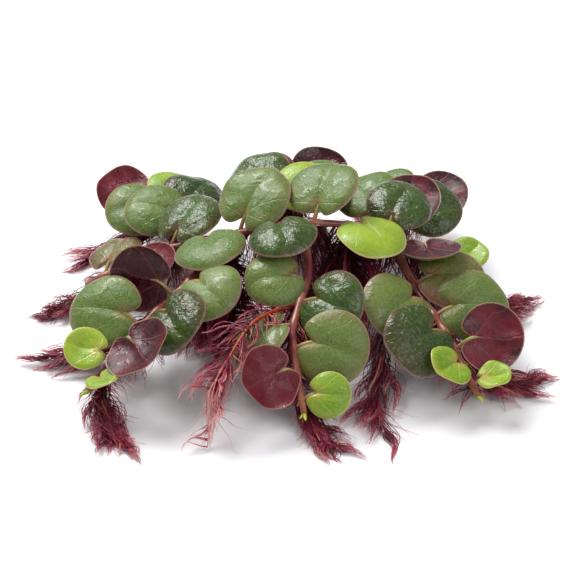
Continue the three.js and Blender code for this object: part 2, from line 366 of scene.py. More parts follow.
def add(tree, kind, inputs, **settings):
    """Adds a shader node with its settings. An input is a value, or an output socket to link to it."""
    made = tree.nodes.new(kind)
    for name, value in settings.items():
        setattr(made, name, value)
    for socket, value in inputs.items():
        if isinstance(value, bpy.types.NodeSocket):
            tree.links.new(value, made.inputs[socket])
        else:
            made.inputs[socket].default_value = value
    return made


def new_material(name):
    material = bpy.data.materials.new(name)
    material.use_nodes = True
    material.node_tree.nodes.clear()
    return material, material.node_tree


MIX_A, MIX_B, MIX_COLOUR = 6, 7, 2  # a Mix node's colour sockets

# Patterns on a blade, per mm of its surface, and its veins
BLOTCHES = 0.2
FLUSHES = 0.11
DENTS = 0.5
VEINS_AROUND = 8  # in a full turn around the notch
VEIN_RELIEF = 0.06
WET_ROUGHNESS = 0.2


def vein_field(tree, place, blotches):
    """Veins that wander as they fan out from the notch: how near the next one is, from 0 to 1, and how far
    the notch is, in mm."""
    wander = add(tree, "ShaderNodeMath", {0: blotches, 1: 0.5, 2: -0.25}, operation="MULTIPLY_ADD")
    along, across, _ = add(tree, "ShaderNodeSeparateXYZ", {0: place}).outputs
    angle = add(tree, "ShaderNodeMath", {0: across, 1: along}, operation="ARCTAN2")
    turned = add(tree, "ShaderNodeMath", {0: angle.outputs[0], 1: wander.outputs[0]}, operation="ADD")
    spokes = add(tree, "ShaderNodeMath", {0: turned.outputs[0], 1: VEINS_AROUND / 2}, operation="MULTIPLY")
    fan = add(tree, "ShaderNodeMath", {0: spokes.outputs[0]}, operation="SINE")
    off = add(tree, "ShaderNodeMath", {0: fan.outputs[0]}, operation="ABSOLUTE")
    flat = add(tree, "ShaderNodeVectorMath", {0: place, 1: (1, 1, 0)}, operation="MULTIPLY")
    far = add(tree, "ShaderNodeVectorMath", {0: flat.outputs[0]}, operation="LENGTH").outputs["Value"]
    gap = add(tree, "ShaderNodeMath", {0: off.outputs[0], 1: far}, operation="MULTIPLY")
    vein = add(
        tree,
        "ShaderNodeMapRange",
        {"Value": gap.outputs[0], "From Min": 0.0, "From Max": 0.9, "To Min": 1.0, "To Max": 0.0},
        interpolation_type="SMOOTHSTEP",
    )
    return vein.outputs[0], far


def flush_field(tree, place, rim, most):
    """Wide patches of a reddish flush, stronger by the rim."""
    patches = add(tree, "ShaderNodeTexNoise", {"Vector": place, "Scale": FLUSHES, "Detail": 2.0}).outputs[0]
    edge = add(tree, "ShaderNodeMath", {0: rim, 1: 2.0}, operation="POWER").outputs[0]
    both = add(tree, "ShaderNodeMath", {0: edge, 1: 0.3, 2: patches}, operation="MULTIPLY_ADD").outputs[0]
    flush = add(
        tree,
        "ShaderNodeMapRange",
        {"Value": both, "From Min": 0.55, "From Max": 0.9, "To Max": most},
        interpolation_type="SMOOTHSTEP",
    )
    return flush.outputs[0]


def rim_field(tree, rim, grain):
    """A thin and slightly ragged rim."""
    ragged = add(tree, "ShaderNodeMath", {0: grain, 1: 0.03, 2: rim}, operation="MULTIPLY_ADD")
    edge = add(
        tree,
        "ShaderNodeMapRange",
        {"Value": ragged.outputs[0], "From Min": 0.968, "From Max": 1.005, "To Max": 0.85},
        interpolation_type="SMOOTHSTEP",
    )
    return edge.outputs[0]


def skin_relief(tree, grain, vein, dents, relief, pucker):
    """The normal of a skin with fine grains, sunken veins and dents, whose depths are in mm."""
    fine = add(tree, "ShaderNodeBump", {"Height": grain, "Distance": relief * MM, "Strength": 1.0})
    ribs = add(
        tree,
        "ShaderNodeBump",
        {"Height": vein, "Distance": VEIN_RELIEF * MM, "Strength": 0.8, "Normal": fine.outputs[0]},
        invert=True,
    )
    dented = add(
        tree,
        "ShaderNodeBump",
        {"Height": dents, "Distance": pucker * MM, "Strength": 1.0, "Normal": ribs.outputs[0]},
    )
    return dented.outputs[0]


def blade_colour(tree, tones, place, skin, blotches, grain, vein, from_notch):
    """The colour of a blade's two sides and its rim, laid on in layers. Each layer lies over the ones before
    it, as far as its field says."""
    upper, rim, tint = add(tree, "ShaderNodeSeparateXYZ", {0: skin}).outputs
    tinted = add(tree, "ShaderNodeMath", {0: blotches, 1: tint}, operation="ADD")
    patch = add(
        tree,
        "ShaderNodeMapRange",
        {"Value": tinted.outputs[0], "From Min": 0.34, "From Max": 0.66},
        interpolation_type="SMOOTHSTEP",
    ).outputs[0]
    # Pale specks over the grain: painted glints and sheen of the wet, waxy skin, not a colour of the skin
    painted_glints = add(
        tree,
        "ShaderNodeMapRange",
        {"Value": grain, "From Min": 0.4, "From Max": 0.68, "To Max": tones["painted_glints"]},
    ).outputs[0]
    faint = add(tree, "ShaderNodeMath", {0: vein, 1: tones["veins"]}, operation="MULTIPLY").outputs[0]
    clear = add(tree, "ShaderNodeMath", {0: vein, 1: 0.45}, operation="MULTIPLY").outputs[0]
    flush = flush_field(tree, place, rim, tones["blushing"])
    throat = add(
        tree,
        "ShaderNodeMapRange",
        {"Value": from_notch, "From Min": 0.4, "From Max": 2.6, "To Min": 0.55, "To Max": 0.0},
        interpolation_type="SMOOTHSTEP",
    ).outputs[0]

    above = [(patch, "base"), (painted_glints, "painted_glint_colour"), (faint, "vein"), (flush, "blush"), (throat, "throat")]
    below = [(patch, "pale_wine"), (clear, "wine_vein")]
    sides = []
    for ground, layers in (("wine", below), ("shade", above)):
        colour = linear(tones[ground])
        for field, layer in layers:
            sockets = {0: field, MIX_A: colour, MIX_B: linear(tones[layer])}
            colour = add(tree, "ShaderNodeMix", sockets, data_type="RGBA").outputs[MIX_COLOUR]
        sides.append(colour)
    both = add(tree, "ShaderNodeMix", {0: upper, MIX_A: sides[0], MIX_B: sides[1]}, data_type="RGBA")
    sockets = {0: rim_field(tree, rim, grain), MIX_A: both.outputs[MIX_COLOUR], MIX_B: linear(tones["rim"])}
    return add(tree, "ShaderNodeMix", sockets, data_type="RGBA").outputs[MIX_COLOUR]


def live_blade(name, tones, rough, grains, relief, pucker, wet):
    """A live blade: waxy green skin over spongy tissue, wine red below, with a thin pale rim. To the eye it
    is a satin green that shifts in soft blotches, with fan-shaped veins, pale specks of painted glint and
    sheen, and glints where it is wet."""
    material, tree = new_material(name)
    place = add(tree, "ShaderNodeAttribute", {}, attribute_name="blade").outputs["Vector"]
    skin = add(tree, "ShaderNodeAttribute", {}, attribute_name="skin").outputs["Vector"]
    blotches, grain, dents = (
        add(tree, "ShaderNodeTexNoise", {"Vector": place, **pattern}).outputs[0]
        for pattern in (
            {"Scale": BLOTCHES, "Detail": 3.0, "Roughness": 0.6},
            {"Scale": grains, "Detail": 2.0, "Roughness": 0.6},
            {"Scale": DENTS, "Detail": 2.5, "Distortion": 0.4},
        )
    )
    vein, from_notch = vein_field(tree, place, blotches)

    # Wet patches lie where the blade dips
    film = add(
        tree,
        "ShaderNodeMapRange",
        {"Value": dents, "From Min": 0.62 - 0.4 * wet, "From Max": 0.7 - 0.4 * wet},
        interpolation_type="SMOOTHSTEP",
    )
    shine = {"Value": film.outputs[0], "To Min": rough, "To Max": WET_ROUGHNESS}
    shader = add(
        tree,
        "ShaderNodeBsdfPrincipled",
        {
            "Base Color": blade_colour(tree, tones, place, skin, blotches, grain, vein, from_notch),
            "Roughness": add(tree, "ShaderNodeMapRange", shine).outputs[0],
            "IOR": 1.43,
            "Normal": skin_relief(tree, grain, vein, dents, relief, pucker),
            "Subsurface Weight": 0.12,
            "Subsurface Radius": (0.5, 0.8, 0.2),
            "Subsurface Scale": 0.9 * MM,
            "Coat Weight": 0.25 * wet,
            "Coat Roughness": 0.08,
            "Coat IOR": 1.33,
        },
    )
    add(tree, "ShaderNodeOutputMaterial", {"Surface": shader.outputs[0]})
    return material


def petiole_flesh():
    """A petiole: fleshy and translucent, tan pink by the stem, then yellow green, and wine in the midrib."""
    material, tree = new_material("petiole_flesh")
    place = add(tree, "ShaderNodeAttribute", {}, attribute_name="blade").outputs["Vector"]
    along, _, _ = add(tree, "ShaderNodeSeparateXYZ", {0: place}).outputs
    streaks = add(tree, "ShaderNodeTexNoise", {"Vector": place, "Scale": 6.0, "Detail": 2.0})
    blend = add(tree, "ShaderNodeMath", {0: streaks.outputs[0], 1: 0.5, 2: along}, operation="MULTIPLY_ADD")
    share = add(tree, "ShaderNodeMapRange", {"Value": blend.outputs[0], "From Min": 0.25, "From Max": 1.25})
    colour = add(tree, "ShaderNodeValToRGB", {0: share.outputs[0]})
    stops = colour.color_ramp.elements
    stops[0].position, stops[0].color = 0.2, linear("#a06a52")
    stops[1].position, stops[1].color = 0.6, linear("#a3a85c")
    stops.new(0.9).color = linear("#8a564e")
    glow = {"Subsurface Weight": 0.15, "Subsurface Radius": (0.8, 0.6, 0.3), "Subsurface Scale": 0.8 * MM}
    look = {"Base Color": colour.outputs[0], "Roughness": 0.32, "IOR": 1.42, **glow}
    shader = add(tree, "ShaderNodeBsdfPrincipled", look)
    add(tree, "ShaderNodeOutputMaterial", {"Surface": shader.outputs[0]})
    return material


def stem_rind():
    """A stem: a smooth fleshy rind, red brown with greener stretches, shining where it is wet."""
    material, tree = new_material("stem_rind")
    place = add(tree, "ShaderNodeTexCoord", {}).outputs["Object"]
    patches = add(tree, "ShaderNodeTexNoise", {"Vector": place, "Scale": 0.25 / MM, "Detail": 3.0})
    flecks = add(tree, "ShaderNodeTexNoise", {"Vector": place, "Scale": 2.2 / MM, "Detail": 2.0})
    greener, darker = (
        add(tree, "ShaderNodeMapRange", sockets).outputs[0]
        for sockets in (
            {"Value": patches.outputs[0], "From Min": 0.4, "From Max": 0.65},
            {"Value": flecks.outputs[0], "From Min": 0.5, "From Max": 0.8, "To Max": 0.7},
        )
    )
    colour = linear("#7c3336")
    for field, layer in ((greener, "#9c6349"), (darker, "#5d2026")):
        sockets = {0: field, MIX_A: colour, MIX_B: linear(layer)}
        colour = add(tree, "ShaderNodeMix", sockets, data_type="RGBA").outputs[MIX_COLOUR]
    bump = add(tree, "ShaderNodeBump", {"Height": flecks.outputs[0], "Distance": 0.06 * MM})
    film = {"Coat Weight": 0.2, "Coat Roughness": 0.08}
    look = {"Base Color": colour, "Roughness": 0.3, "IOR": 1.42, "Normal": bump.outputs[0], **film}
    shader = add(tree, "ShaderNodeBsdfPrincipled", look)
    add(tree, "ShaderNodeOutputMaterial", {"Surface": shader.outputs[0]})
    return material


def bud_flesh():
    """Unopened leaves at the tips: soft, yellow green and slightly shiny."""
    material, tree = new_material("bud_flesh")
    place = add(tree, "ShaderNodeTexCoord", {}).outputs["Object"]
    field = add(tree, "ShaderNodeTexNoise", {"Vector": place, "Scale": 0.8 / MM, "Detail": 2.0})
    colour = add(
        tree,
        "ShaderNodeMix",
        {0: field.outputs[0], MIX_A: linear("#6f8f22"), MIX_B: linear("#c4c93f")},
        data_type="RGBA",
    )
    glow = {"Subsurface Weight": 0.15, "Subsurface Scale": 0.8 * MM}
    look = {"Base Color": colour.outputs[MIX_COLOUR], "Roughness": 0.3, "IOR": 1.42, **glow}
    shader = add(tree, "ShaderNodeBsdfPrincipled", look)
    add(tree, "ShaderNodeOutputMaterial", {"Surface": shader.outputs[0]})
    return material


def dry_pith():
    """A broken stem's pith: dry, cream and matt."""
    material, tree = new_material("dry_pith")
    shader = add(tree, "ShaderNodeBsdfPrincipled", {"Base Color": linear("#d9b98c"), "Roughness": 0.8})
    add(tree, "ShaderNodeOutputMaterial", {"Surface": shader.outputs[0]})
    return material


def wet_root(name, base, middle, pale, tip, mottle_and_glints):
    """A root: a wet strand that pales in a mottled way from its base to its tip. Its darkest colour is partly
    painted shade, and the pale mottle over its beads is partly its own colour and partly painted pink glints.
    """
    material, tree = new_material(name)
    strand = add(tree, "ShaderNodeAttribute", {}, attribute_name="strand").outputs["Vector"]
    along, tone, _ = add(tree, "ShaderNodeSeparateXYZ", {0: strand}).outputs
    place = add(tree, "ShaderNodeTexCoord", {}).outputs["Object"]
    beads = add(tree, "ShaderNodeTexNoise", {"Vector": place, "Scale": 1.2 / MM, "Detail": 2.0})
    shifted = add(tree, "ShaderNodeMath", {0: tone, 1: 0.5, 2: along}, operation="MULTIPLY_ADD")
    # Paler where the beads noise is high: partly the root's own mottle, partly painted glints on its beads
    mottled_and_glinting = add(
        tree,
        "ShaderNodeMath",
        {0: beads.outputs[0], 1: mottle_and_glints, 2: shifted.outputs[0]},
        operation="MULTIPLY_ADD",
    )
    share = add(tree, "ShaderNodeMapRange", {"Value": mottled_and_glinting.outputs[0], "From Min": 0.0, "From Max": 1.5})
    ramp = add(tree, "ShaderNodeValToRGB", {0: share.outputs[0]})
    stops = ramp.color_ramp.elements
    # The first colour is the darkest; in the crimson root it is deepened partly as painted shade in the
    # tangle
    stops[0].position, stops[0].color = 0.05, linear(base)
    stops[1].position, stops[1].color = 0.5, linear(middle)
    stops.new(0.75).color = linear(pale)
    stops.new(1.0).color = linear(tip)
    bump = add(tree, "ShaderNodeBump", {"Height": beads.outputs[0], "Distance": 0.12 * MM})
    film = {"Coat Weight": 0.15, "Coat Roughness": 0.1, "Coat IOR": 1.33}
    look = {"Base Color": ramp.outputs[0], "Roughness": 0.35, "IOR": 1.36, "Normal": bump.outputs[0], **film}
    shader = add(tree, "ShaderNodeBsdfPrincipled", look)
    add(tree, "ShaderNodeOutputMaterial", {"Surface": shader.outputs[0]})
    return material


# Each kind of blade: its colours, with how strongly its painted glint specks, veins and flush show, its dry
# roughness, the grains per mm of its skin, the depth of the grains and of its dents, in mm, and how wet it is
WINE = {"wine": "#3a0612", "pale_wine": "#681423", "wine_vein": "#8a3c4a"}
BLADES = {
    "leaf_green": live_blade(
        "mature_blade_waxy",
        {"base": "#5a7029", "shade": "#4a641f", "painted_glint_colour": "#95a46c", "painted_glints": 0.32,
         "vein": "#84945a", "veins": 0.12, "blush": "#7a6440", "blushing": 0.4,
         "throat": "#94784f", "rim": "#a17c6c", **WINE},
        rough=0.46, grains=2.6, relief=0.07, pucker=0.25, wet=0.2,
    ),
    "leaf_lime": live_blade(
        "young_blade_soft",
        {"base": "#84a21f", "shade": "#6a8e18", "painted_glint_colour": "#adc059", "painted_glints": 0.4,
         "vein": "#b4c455", "veins": 0.25, "blush": "#a3a832", "blushing": 0.35,
         "throat": "#ad9448", "rim": "#cbbd7c",
         "wine": "#8a6f40", "pale_wine": "#9fa748", "wine_vein": "#b3b068"},
        rough=0.42, grains=2.6, relief=0.06, pucker=0.15, wet=0.25,
    ),
    "leaf_dark": live_blade(
        "old_blade_wet",
        {"base": "#385019", "shade": "#273d12", "painted_glint_colour": "#677c48", "painted_glints": 0.32,
         "vein": "#5f723c", "veins": 0.15, "blush": "#4c3a20", "blushing": 0.6,
         "throat": "#70503a", "rim": "#86635b", **WINE},
        rough=0.36, grains=1.5, relief=0.2, pucker=0.45, wet=0.6,
    ),
    "leaf_olive": live_blade(
        "reddened_blade",
        {"base": "#64682e", "shade": "#5a511f", "painted_glint_colour": "#8d8d5c", "painted_glints": 0.36,
         "vein": "#8e8054", "veins": 0.2, "blush": "#6a3430", "blushing": 0.75,
         "throat": "#8a5844", "rim": "#aa746c", **WINE},
        rough=0.45, grains=2.0, relief=0.12, pucker=0.25, wet=0.3,
    ),
}
PETIOLE = petiole_flesh()
RIND = stem_rind()
BUD = bud_flesh()
PITH = dry_pith()
# The crimson root's near-black first colour is partly its own dark red and partly painted shade
CRIMSON_ROOT = wet_root("root_crimson_wet", "#1f0308", "#6c1028", "#b23a58", "#dfa09c", 0.3)
# The orange bark's strong mottle is partly its own mottled colour and partly painted bead glints
ORANGE_ROOT = wet_root("root_orange_bark", "#641d10", "#a43c1e", "#c4633c", "#e6b29c", 0.9)

SLOT = {row["node"]: row["material_slot"] for row in frame["record"]["subparts"]}


def settle(bm, name, node, slot, materials):
    """Turns a form in millimetres into a smooth piece in metres that stands for a node or a part of one."""
    bmesh.ops.recalc_face_normals(bm, faces=bm.faces)
    bmesh.ops.scale(bm, vec=(MM, MM, MM), verts=bm.verts)
    mesh = bpy.data.meshes.new(name)
    bm.to_mesh(mesh)
    bm.free()
    mesh.shade_smooth()
    for material in materials:
        mesh.materials.append(material)
    piece = bpy.data.objects.new(name, mesh)
    bpy.context.scene.collection.objects.link(piece)
    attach(piece, "root")
    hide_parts(node)
    return piece


def draw_out(bm, route, radius_at, sides, rings, from_share=0.0):
    """A round strand: a ball drawn out along a route, with a radius that changes along it. Returns its
    corners, each with its share of the length."""
    ball = bmesh.ops.create_uvsphere(bm, u_segments=sides, v_segments=rings, radius=1)["verts"]
    shares = []
    for vert in ball:
        around = math.atan2(vert.co.y, vert.co.x)
        ring = round(math.acos(clamp(vert.co.z, -1, 1)) / math.pi * rings)
        share = mix(from_share, 1, clamp((ring - 1) / (rings - 2)))
        girth = 0 if ring in (0, rings) else radius_at(share)
        along = route.heading(share)
        side = along.cross(UP).normalized()
        over = side.cross(along)
        vert.co = route.at(share) + girth * (math.cos(around) * side + math.sin(around) * over)
        shares.append((vert, share))
    return shares


def outline(angle):
    """How far a blade's edge is from its middle, as a share of half its width. The notch is at 180
    degrees."""
    from_notch = (math.pi - abs(angle)) / math.radians(NOTCH_HALF_ANGLE)
    return 1 - NOTCH_DEPTH * math.exp(-from_notch * from_notch)


def blade(bm, width, droop, growth, chance):
    """A heart-shaped blade, its notch at the origin and its midrib along +X, made from a flattened ball."""
    half = width / 2
    middle = half * BLADE_LENGTH * (1 - NOTCH_DEPTH)
    place, skin = (bm.verts.layers.float_vector[name] for name in ("blade", "skin"))
    ball = bmesh.ops.create_uvsphere(bm, u_segments=BLADE_SIDES, v_segments=BLADE_RINGS, radius=1)["verts"]
    phase, lean = chance.uniform(0, math.tau), chance.uniform(-1, 1)
    ripples = chance.choice((2, 3, 4, 5))
    fold = growth["fold"] * chance.uniform(0.2, 2.2) ** 1.5 * width / FULL_LEAF
    wave = growth["wave"] * chance.uniform(0.5, 2)
    lot = chance.uniform(0, 90)
    tint = chance.uniform(-0.2, 0.2)
    for vert in ball:
        x, y, rise = vert.co
        out = min(math.hypot(x, y), 1)
        even = math.atan2(y, x)
        angle = even + NOTCH_CROWDING * math.sin(even)
        sway = 1 + UNEVEN * math.sin(2 * angle + phase) * out + UNEVEN * lean * math.sin(angle)
        reach = half * out * outline(angle) * sway
        along = middle + reach * math.cos(angle) * BLADE_LENGTH
        across = reach * math.sin(angle)
        from_rib = across / half
        spot = Vector((along, across, lot))
        lift = -droop * out * out * (1 + LOBE_LIFT * math.cos(angle))
        lift += fold * (math.hypot(from_rib, 0.12) - 0.5)
        lift += growth["puff"] * (1 - out**4) * (1 - math.exp(-((from_rib / MIDRIB_WIDTH) ** 2)))
        lift += wave * out**3 * math.sin(ripples * angle + phase)
        lift += growth["pucker"] * (1 - out**6) * noise.noise(spot * PUCKERS_PER_MM)
        lift -= RIM_CURL * out**10
        thick = BLADE_SKIN / 2 * math.sqrt(max(0, 1 - out**8))
        vert.co = (along, across, lift + math.copysign(thick, rise))
        vert[place] = spot
        vert[skin] = (clamp(0.5 + 4 * rise), out, tint)
    return ball


def leaf(name, node, slot, place_on_stem, stem_heading, node_radius, form):
    """A leaf: its petiole climbs from inside the stem to the notch of its blade."""
    side, width, pitch, roll, droop = form
    chance = random.Random(name)
    bm = bmesh.new()
    place = bm.verts.layers.float_vector.new("blade")
    skin = bm.verts.layers.float_vector.new("skin")
    size = mix(LEAST_PETIOLE, 1, width / FULL_LEAF)
    rise = math.radians(PETIOLE_RISE)
    notch = PETIOLE_LENGTH * size * Vector((math.cos(rise), 0, math.sin(rise)))

    grown = blade(bm, width, droop, GROWTH[slot], chance)
    joint = min(grown, key=lambda vert: vert.co.xy.length)
    below = [vert for vert in grown if vert[skin].x < 0.5]
    rib = min(below, key=lambda vert: (vert.co.xy - Vector((RIB_REACH * width, 0))).length)
    bmesh.ops.rotate(bm, cent=(0, 0, 0), matrix=Matrix.Rotation(math.radians(roll), 3, "X"), verts=grown)
    bmesh.ops.translate(bm, vec=notch, verts=grown)

    def radius_at(share):
        return mix(PETIOLE_RADIUS, PETIOLE_TOP_RADIUS, share**3) * size

    petiole = Route([(0, 0, 0), joint.co, rib.co])
    start = PETIOLE_START * node_radius / petiole.length
    for vert, share in draw_out(bm, petiole, radius_at, PETIOLE_SIDES, PETIOLE_RINGS, start):
        vert[place] = (share, vert.co.y, width)
        for face in vert.link_faces:
            face.material_index = 1

    heading = math.atan2(stem_heading.y, stem_heading.x) + side * math.radians(LEAF_SPREAD)
    turn = Matrix.Rotation(heading, 3, "Z") @ Matrix.Rotation(-math.radians(pitch), 3, "Y")
    bmesh.ops.rotate(bm, cent=(0, 0, 0), matrix=turn, verts=bm.verts)
    bmesh.ops.translate(bm, vec=place_on_stem, verts=bm.verts)
    settle(bm, f"{name}_blade", node, slot, [BLADES[slot], PETIOLE])


def ellipsoid(bm, radii, turn, place, taper):
    """A small pointed body, such as a bud or a scale. Its far end is along +X before it is turned."""
    ball = bmesh.ops.create_uvsphere(bm, u_segments=12, v_segments=8, radius=1)["verts"]
    for vert in ball:
        slim = 1 - taper * clamp(0.5 + 0.5 * vert.co.x)
        vert.co = (vert.co.x * radii[0], vert.co.y * radii[1] * slim, vert.co.z * radii[2] * slim)
    bmesh.ops.rotate(bm, cent=(0, 0, 0), matrix=turn, verts=ball)
    bmesh.ops.translate(bm, vec=place, verts=ball)
    return ball


def aimed(direction):
    """The turn that points +X along a direction."""
    return direction.to_track_quat("X", "Z").to_matrix()


def stem(name, route, shares, parent):
    """A stem: it tapers to its tip, swells at each node and ends in buds. Small scales sit at the nodes."""
    chance = random.Random(name)
    bm = bmesh.new()
    swell = NODE_LENGTH / route.length

    def radius_at(share):
        bump = sum(math.exp(-(((share - node) / swell) ** 2)) for node in shares)
        return mix(STEM_RADIUS, STEM_TIP_RADIUS, share) * (1 + (NODE_SWELL - 1) * min(bump, 1))

    draw_out(bm, route, radius_at, STEM_SIDES, STEM_RINGS * (len(shares) + 1))
    if parent is None:
        hollow_end(bm, route)
    else:
        collar = Route([parent, route.at(0), route.at(0.06)])
        draw_out(bm, collar, lambda share: STEM_RADIUS, STEM_SIDES, 10)
    for share in shares:
        along = route.heading(share)
        for side in (-1, 1):
            out = along.cross(UP).normalized() * side
            foot = route.at(share) + out * radius_at(share) * 0.9
            turn = aimed(along + 0.5 * out + 0.3 * UP)
            ellipsoid(bm, SCALE, turn, foot + 0.6 * along, SCALE_TAPER)
    tip, ahead = route.at(1), route.heading(1)
    lean = ahead.cross(UP) * chance.choice((-1, 1))
    buds = ellipsoid(bm, TIP_BUD, aimed(ahead + 0.5 * UP), tip + ahead * 0.9 + UP * 0.3, BUD_TAPER)
    turn = aimed(ahead + 0.7 * lean + 0.3 * UP)
    buds += ellipsoid(bm, SIDE_BUD, turn, tip + ahead * 0.5 + lean * 0.5, BUD_TAPER)
    for vert in buds:
        for face in vert.link_faces:
            face.material_index = 1
    settle(bm, f"{name}_rind", name, SLOT[name], [RIND, BUD, PITH])


def hollow_end(bm, route):
    """The old end of the main stem, where it broke off: a pale pith that has shrunk into the rind."""
    bm.verts.ensure_lookup_table()
    centre = min(bm.verts, key=lambda vert: (vert.co - route.at(0)).length)
    bmesh.ops.inset_region(bm, faces=list(centre.link_faces), thickness=BROKEN_RIM, depth=0)
    centre.co += route.heading(0) * PITH_DEPTH
    for face in centre.link_faces:
        face.material_index = 2


def waver(places, width, chance):
    """Places along a root, moved aside more and more towards its tip, but kept above the table and in its
    room."""
    seed = Vector([chance.uniform(-50, 50) for _ in range(3)])
    low, high = ([value / MM for value in corner] for corner in solid_box)
    moved = []
    for i, place in enumerate(places):
        share = i / (len(places) - 1)
        place = place + width * math.sqrt(share) * noise.noise_vector(seed + place * WAVERS)
        place.x = clamp(place.x, low[0] - ROOM, high[0] + ROOM)
        place.y = clamp(place.y, low[1] - ROOM, high[1] + ROOM)
        place.z = max(place.z, TABLE_CLEARANCE)
        moved.append(place)
    return moved


def side_root(main, share, side, spread, length, sag):
    """The route of a side root: out from the main root, then along the way that its tuft runs, sagging."""
    heading = main.at(1) - main.at(0)
    heading.z = 0
    heading.normalize()
    start = main.at(share)
    out = Matrix.Rotation(side * math.radians(spread), 3, "Z") @ heading
    bend = start + 0.5 * length * out
    end = bend + 0.5 * length * heading + 0.15 * length * out
    bend.z = mix(start.z, ROOTLET_RADIUS, 0.4 * sag)
    end.z = mix(start.z, ROOTLET_RADIUS, sag)
    return Route([start, bend, end])


def lock(parent, share, guide, roots, apart, tone, chance):
    """Fine roots that leave their parent around one place, part by about as much as apart says, in mm, and
    cling together in one wet point."""
    strands = []
    sway = Vector([chance.uniform(-50, 50) for _ in range(3)])
    rusty = chance.random() < RUSTY
    steps = round(clamp(STEPS_PER_MM * guide.length, *LOCK_STEPS))
    for number in range(roots):
        foot = parent.at(share + chance.gauss(0, LOCK_FOOT) / parent.length)
        away = foot - guide.at(0)
        aside = apart * Vector((chance.gauss(0, 1), chance.gauss(0, 1), chance.gauss(0, 0.5)))
        reach = chance.uniform(0.55, 1)
        parted = chance.gauss(0, 0.3)
        places = []
        for step in range(steps + 1):
            along = step / steps
            spread = math.sin(math.pi * along**0.8) + parted * along
            place = guide.at(along * reach) + (1 - along) ** 2 * away + spread * aside
            place += LOCK_SWAY * along * noise.noise_vector(sway + place * LOCK_SWAYS)
            places.append(place)
        thick = CORD_RADIUS if number == 0 else FINE_RADIUS * chance.uniform(0.6, 1.2)
        own_tone = tone + PALER_TO_TIP * share + chance.uniform(-0.25, 0.25)
        strands.append((waver(places, 0.5, chance), thick, TIP_RADIUS, own_tone, int(rusty and number == 0)))
    return strands


def strays(main, count, reach, chance):
    """Single fine roots that stand away from a main root."""
    strands = []
    for _ in range(count):
        share = chance.uniform(0, STRAYS_END)
        angle = math.radians(chance.choice((-1, 1)) * chance.uniform(20, 80))
        ahead = main.heading(share)
        side = ahead.cross(UP).normalized()
        out = (math.cos(angle) * ahead + math.sin(angle) * side + chance.uniform(-0.3, 0.4) * UP).normalized()
        length = 0.8 * reach * chance.uniform(0.4, 1)
        line = []
        for step in range(STRAY_STEPS + 1):
            along = step / STRAY_STEPS
            line.append(main.at(share) + length * (out * along - 0.15 * along**2 * UP))
        thick = FINE_RADIUS * chance.uniform(0.5, 1)
        tone = PALER_TO_TIP * share + chance.random()
        strands.append((waver(line, 0.8, chance), thick, TIP_RADIUS, tone, 0))
    return strands


def bundle(name, strands):
    """Many thin strands as one mesh, each of (points, radius at its base, radius at its tip, tone, finish).
    Each corner keeps its share of the strand's length, and the strand's tone."""
    curve = bpy.data.curves.new(name, "CURVE")
    curve.dimensions = "3D"
    curve.bevel_depth = 1
    curve.bevel_resolution = 0
    curve.use_fill_caps = False
    for points, thick, thin, _, _ in strands:
        spline = curve.splines.new("POLY")
        spline.points.add(len(points) - 1)
        for i, (point, place) in enumerate(zip(spline.points, points)):
            point.co = (*place, 1)
            point.radius = mix(thick, thin, i / (len(points) - 1))
    holder = bpy.data.objects.new(name, curve)
    bpy.context.scene.collection.objects.link(holder)
    bpy.context.view_layer.update()
    mesh = bpy.data.meshes.new_from_object(holder.evaluated_get(bpy.context.evaluated_depsgraph_get()))
    bpy.data.objects.remove(holder)
    bpy.data.curves.remove(curve)
    mesh.materials.clear()
    bm = bmesh.new()
    bm.from_mesh(mesh)
    bpy.data.meshes.remove(mesh)
    bm.verts.ensure_lookup_table()
    layer = bm.verts.layers.float_vector.new("strand")
    index = 0
    for points, _, _, tone, finish in strands:
        for i in range(len(points)):
            for _ in range(STRAND_SIDES):
                bm.verts[index][layer] = (i / (len(points) - 1), tone, finish)
                index += 1
    for face in bm.faces:
        face.material_index = round(face.verts[0][layer].z)
    ends = [edge for edge in bm.edges if edge.is_boundary]
    bmesh.ops.holes_fill(bm, edges=ends, sides=STRAND_SIDES)
    return bm


def shown_rootlets(main, reach, rootlets, sag, spread):
    """The side roots that the solids have: for each, the share of the main root where it starts, and its
    route."""
    for i in range(rootlets):
        share = mix(ROOTLET_START, ROOTLET_END, i / (rootlets - 1))
        length = reach * mix(1, LAST_LENGTH, share * share)
        yield share, side_root(main, share, 1 if i % 2 else -1, spread, length, sag)


def rest_of(route, share):
    """A route from a share of its length to its end."""
    return Route([route.at(mix(share, 1, step / 4)) for step in range(5)])


def wet_tuft(main, reach, rootlets, sag, spread, fullness, chance):
    """The locks of a tuft: one on each side root that the solids have, more between them, and some that run
    along the main root."""
    strands = []
    for share, guide in shown_rootlets(main, reach, rootlets, sag, spread):
        tone = chance.uniform(-0.4, 0.4)
        strands += lock(main, share, guide, LOCK_ROOTS, 0.6, tone, chance)
    for _ in range(round(fullness * MORE_LOCKS)):
        share = chance.uniform(0.02, 0.9)
        length = reach * mix(1, LAST_LENGTH, share * share) * chance.uniform(0.6, 1)
        side = chance.choice((-1, 1))
        low = sag * chance.uniform(0.4, 1)
        guide = side_root(main, share, side, chance.uniform(-10, spread + 15), length, low)
        roots = round(LOCK_ROOTS * chance.uniform(0.4, 1))
        tone = chance.uniform(-0.6, 0.5)
        strands += lock(main, share, guide, roots, 0.7, tone, chance)
    for _ in range(round(fullness * RUNNING_LOCKS)):
        share = chance.uniform(0, 0.5)
        tone = chance.uniform(-0.6, 0)
        strands += lock(main, share, rest_of(main, share), LOCK_ROOTS, 1.2, tone, chance)
    return strands + strays(main, round(fullness * STRAY_ROOTS), reach, chance)


